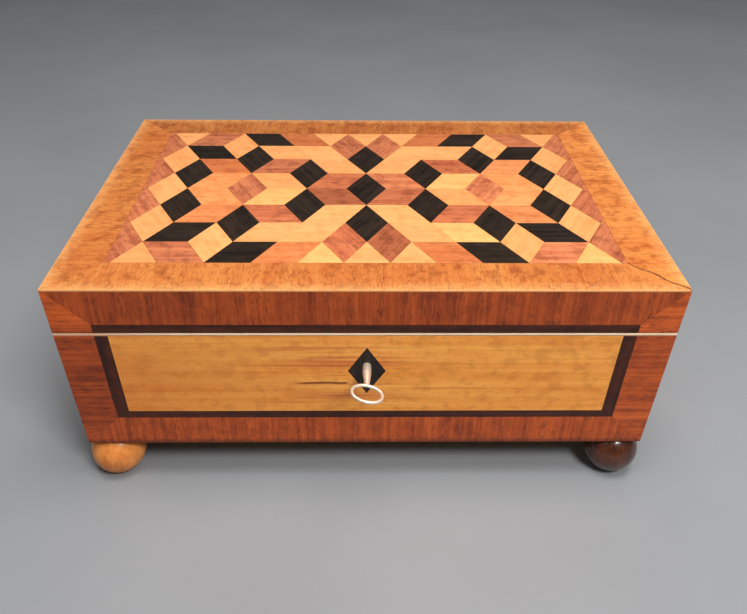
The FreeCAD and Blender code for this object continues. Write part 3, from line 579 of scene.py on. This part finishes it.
def finish_wood(name, material, grain_of, tint_of, edge=None):
    """Marks a wooden piece, rounds its edges where edge gives a width, and dresses it."""
    mark(name, grain_of, tint_of)
    if edge:
        soften(name, edge)
    dress(name, material)


def nodes_named(*starts):
    return [name for name in nodes if name.startswith(starts)]


# ---- Grain directions and shades ----

def running(direction):
    """The same grain direction for every solid."""
    return lambda low, high: direction


def lengthwise(low, high):
    """Grain along a solid's longest side."""
    size = high - low
    return (ACROSS, BACK, UP)[max(range(3), key=lambda axis: size[axis])]


def along_panel(low, high):
    """Level grain along a panel, whichever side of the box it is on."""
    size = high - low
    return BACK if size.x < size.y else ACROSS


def crossbanded(low, high):
    """A long level band's grain stands up, and that of an end band lies level."""
    size = high - low
    if size.z > max(size.x, size.y) * 0.5:
        return ACROSS if size.x > size.y * 0.6 else BACK
    return UP


def shaded(tint):
    """The same shade for every solid."""
    return lambda low, high, draw: tint


def plain_tint(low, high, draw):
    return (draw.uniform(0.94, 1.06), draw.uniform(0.0, 0.15), draw.uniform(0.0, 0.1))


def band_tint(low, high, draw):
    """The box's bands are brighter and yellower on the right than on the left, as painted light:
    the side towards the light is painted lighter.
    """
    middle = (low + high) / 2
    side = max(-1.0, min(1.0, middle.x / 0.12))
    # Painted light: brightness rises by up to 0.12 towards the right and falls as much towards the
    # left.
    painted_light_lift = 0.12 * side
    return (0.98 + painted_light_lift + draw.uniform(-0.03, 0.03), 0.12 - 0.08 * side, 0.05 + 0.05 * side)


# ---- Parquetry ----

class Lattice:
    """Where a tile lies in the parquetry, counted in tile edges across and rows back."""

    def __init__(self):
        self.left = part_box("top_border_left")[1].x
        self.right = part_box("top_border_right")[0].x
        self.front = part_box("top_border_front")[1].y
        self.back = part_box("top_border_back")[0].y

    def at(self, low, high):
        middle = (low + high) / 2
        from_middle = middle.x - (self.left + self.right) / 2
        across = from_middle / (self.right - self.left) * LATTICE_COLUMNS
        rows = (middle.y - self.front) / (self.back - self.front) * LATTICE_ROWS
        return round(across, 2), round(rows, 2)


# Shades that a maker's offcuts bring in: brightness, redness, yellowness
SHADES = {
    "plain": (1.0, 0.05, 0.05),
    "yellow": (1.06, 0.0, 0.85),
    "orange": (0.98, 0.30, 0.10),
    "pink": (1.0, 0.42, 0.0),
    "red": (0.80, 0.60, 0.0),
    "brown": (0.72, 0.35, 0.0),
    "pale": (1.18, 0.0, 0.30),
}

# The tiles that differ from their neighbours of the same wood, by their middle on the lattice
ODD_TILES = {
    (0.75, 3.5): "orange", (-0.75, 4.5): "orange", (0.75, 4.5): "pale", (-0.75, 3.5): "brown",
    (2.25, 3.5): "orange", (-2.25, 3.5): "yellow", (2.25, 4.5): "yellow", (-2.25, 4.5): "orange",
    (1.75, 0.5): "red", (4.25, 0.5): "pale", (-1.75, 0.5): "orange", (5.0, 2.0): "pink",
    (2.25, 1.5): "yellow", (0.5, 1.0): "brown", (-0.5, 1.0): "pink", (3.0, 4.0): "pale",
    (-3.75, 3.5): "pale", (3.75, 3.5): "pale", (-3.75, 4.5): "pale", (3.75, 4.5): "yellow",
    (-3.75, 5.5): "red", (-2.25, 2.5): "pink", (2.25, 2.5): "pink", (2.25, 5.5): "pink",
    (5.0, 0.5): "yellow", (-1.0, 0.5): "yellow", (-5.0, 0.5): "orange", (-1.75, 7.5): "red",
    (1.75, 7.5): "red", (-3.5, 7.0): "orange", (-5.0, 6.0): "orange",
}

# How much dimmer the back row is than the middle one, and the lean of an upright tile's side
BACK_ROW_DIMMING = 0.10
UPRIGHT_LEAN = (0.5, 0.866)


def tile_grain(low, high):
    """A slanted tile's grain runs along its level edges, and an upright tile's along one side."""
    across, rows = lattice.at(low, high)
    if 0.25 < rows % 1 < 0.75:
        return ACROSS
    lean = 1 if across >= 0 else -1
    return Vector((lean * UPRIGHT_LEAN[0], UPRIGHT_LEAN[1], 0))


def tile_tint(low, high, draw):
    across, rows = lattice.at(low, high)
    brightness, redness, yellowness = SHADES[ODD_TILES.get((across, rows), "plain")]
    middle_row = LATTICE_ROWS / 2
    darker_back = 1.0 - BACK_ROW_DIMMING * max(0.0, rows - middle_row) / middle_row
    brightness = brightness * draw.uniform(0.95, 1.05) * darker_back
    return brightness, redness + draw.uniform(0, 0.08), yellowness + draw.uniform(0, 0.08)


def finish_parquetry(woods):
    for name in nodes_named("tiles_"):
        finish_wood(name, woods[name.split("_")[1]], tile_grain, tile_tint, SOFT_EDGE)


# ---- Borders, faces, frame, feet and fittings ----

# Crossbanding on the lid: the grain runs outwards from the parquetry on all four sides
BORDERS = (
    ("top_border_front", BACK, (0.76, 0.14, 0.05)),
    ("top_border_back", BACK, (0.60, 0.12, 0.0)),
    ("top_border_left", ACROSS, (0.74, 0.15, 0.06)),
    ("top_border_right", ACROSS, (0.86, 0.04, 0.25)),
)


def finish_border(woods):
    for name, direction, tint in BORDERS:
        finish_wood(name, woods["border_cherry"], running(direction), shaded(tint), ARRIS)


def finish_faces(woods):
    crossband = woods["crossband_mahogany"]
    for name in ("front_bands", "side_bands", "lid_side_bands"):
        finish_wood(name, crossband, crossbanded, band_tint, SOFT_EDGE)
    finish_wood("lid_front_band", crossband, running(UP), shaded((0.84, 0.15, 0.0)), SOFT_EDGE)
    finish_wood("lid_front_ends", crossband, running(ACROSS), shaded((1.18, 0.0, 0.12)),
                SOFT_EDGE)
    for name in ("back_veneer", "lid_back_veneer"):
        finish_wood(name, crossband, running(ACROSS), plain_tint, SOFT_EDGE)
    for name in ("front_strings", "side_strings", "lid_front_strings", "lid_side_strings"):
        finish_wood(name, woods["string_ebony"], lengthwise, plain_tint, SOFT_EDGE)
    finish_wood("front_panel", woods["satinwood_front"], along_panel, plain_tint, SOFT_EDGE)
    for name in ("left_panel", "right_panel"):
        finish_wood(name, woods["satinwood"], along_panel, plain_tint, SOFT_EDGE)
    finish_wood("escutcheon", woods["ebony"], running(UP), plain_tint)
    finish_wood("rim_facings", woods["boxwood"], lengthwise, plain_tint)


def finish_frame(woods):
    for name in nodes_named("carcass_", "lid_rail_"):
        finish_wood(name, woods["carcass_pine"], lengthwise, plain_tint)
    for name in ("base_board", "lid_top_board"):
        finish_wood(name, woods["carcass_pine"], running(ACROSS), plain_tint)


def finish_feet(woods):
    """One foot is pale in the photograph and the others are dark."""
    for name in nodes_named("foot_"):
        slot = "foot_fruitwood" if name == "foot_front_left" else "foot_rosewood"
        finish_wood(name, woods[slot], running(UP), plain_tint)


def finish_fittings(others):
    for entry in frame["record"]["subparts"]:
        if entry["material_slot"] in others:
            dress(entry["node"], others[entry["material_slot"]])


# ---- Setting ----

def show(thing):
    bpy.context.scene.collection.objects.link(thing)


def floor():
    """A plain grey tabletop."""
    half = FLOOR_HALF
    mesh = bpy.data.meshes.new("floor")
    corners = [(-half, -half, 0), (half, -half, 0), (half, half, 0), (-half, half, 0)]
    mesh.from_pydata(corners, [], [(0, 1, 2, 3)])
    thing = bpy.data.objects.new("floor", mesh)
    show(thing)
    graph = Graph("floor_paint")
    place = graph.place()
    tone = graph.noise(place, scale=0.006, roughness=0.5)
    colour = graph.mix(graph.between(tone, 0.3, 0.7), srgb(134, 137, 141), srgb(140, 143, 147))
    grit = graph.noise(place, scale=0.9, roughness=0.6)
    normal = graph.bump(grit, depth=0.05 * MM, strength=0.3)
    mesh.materials.append(graph.finish(Base_Color=colour, Roughness=0.55, Normal=normal))


def area_light(name, place, size, power, colour):
    data = bpy.data.lights.new(name, "AREA")
    data.shape = "RECTANGLE"
    data.size, data.size_y = size
    data.energy = power
    data.color = colour
    thing = bpy.data.objects.new(name, data)
    thing.location = place
    aim = Vector(LAMP_TARGET) - Vector(place)
    thing.rotation_euler = aim.to_track_quat("-Z", "Y").to_euler()
    show(thing)


def lights():
    world = bpy.data.worlds.new("studio")
    world.use_nodes = True
    sky = world.node_tree.nodes["Background"]
    sky.inputs["Color"].default_value = SKY_COLOUR
    sky.inputs["Strength"].default_value = SKY_STRENGTH
    bpy.context.scene.world = world
    for name, (place, size, power, colour) in LAMPS.items():
        area_light(name, place, size, power, colour)


def lid_top_middle():
    low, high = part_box("top_border_front")
    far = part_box("top_border_back")[1]
    return Vector(((low.x + high.x) / 2, (low.y + far.y) / 2, high.z))


def camera():
    data = bpy.data.cameras.new("camera")
    data.sensor_width = 36.0
    data.lens = CAMERA_LENS
    data.shift_y = CAMERA_SHIFT
    data.clip_start = 0.01
    thing = bpy.data.objects.new("camera", data)
    turn = Matrix.Rotation(math.radians(CAMERA_YAW), 4, "Z")
    turn = turn @ Matrix.Rotation(math.radians(90 - CAMERA_PITCH), 4, "X")
    turn = turn @ Matrix.Rotation(math.radians(CAMERA_ROLL), 4, "Z")
    thing.matrix_world = Matrix.Translation(lid_top_middle() + CAMERA_OFFSET) @ turn
    show(thing)
    bpy.context.scene.camera = thing
    bpy.context.scene.view_settings.view_transform = "Standard"


lattice = Lattice()
woods = wood_materials()
finish_parquetry(woods)
finish_border(woods)
finish_faces(woods)
finish_frame(woods)
finish_feet(woods)
finish_fittings(other_materials())
floor()
lights()
camera()
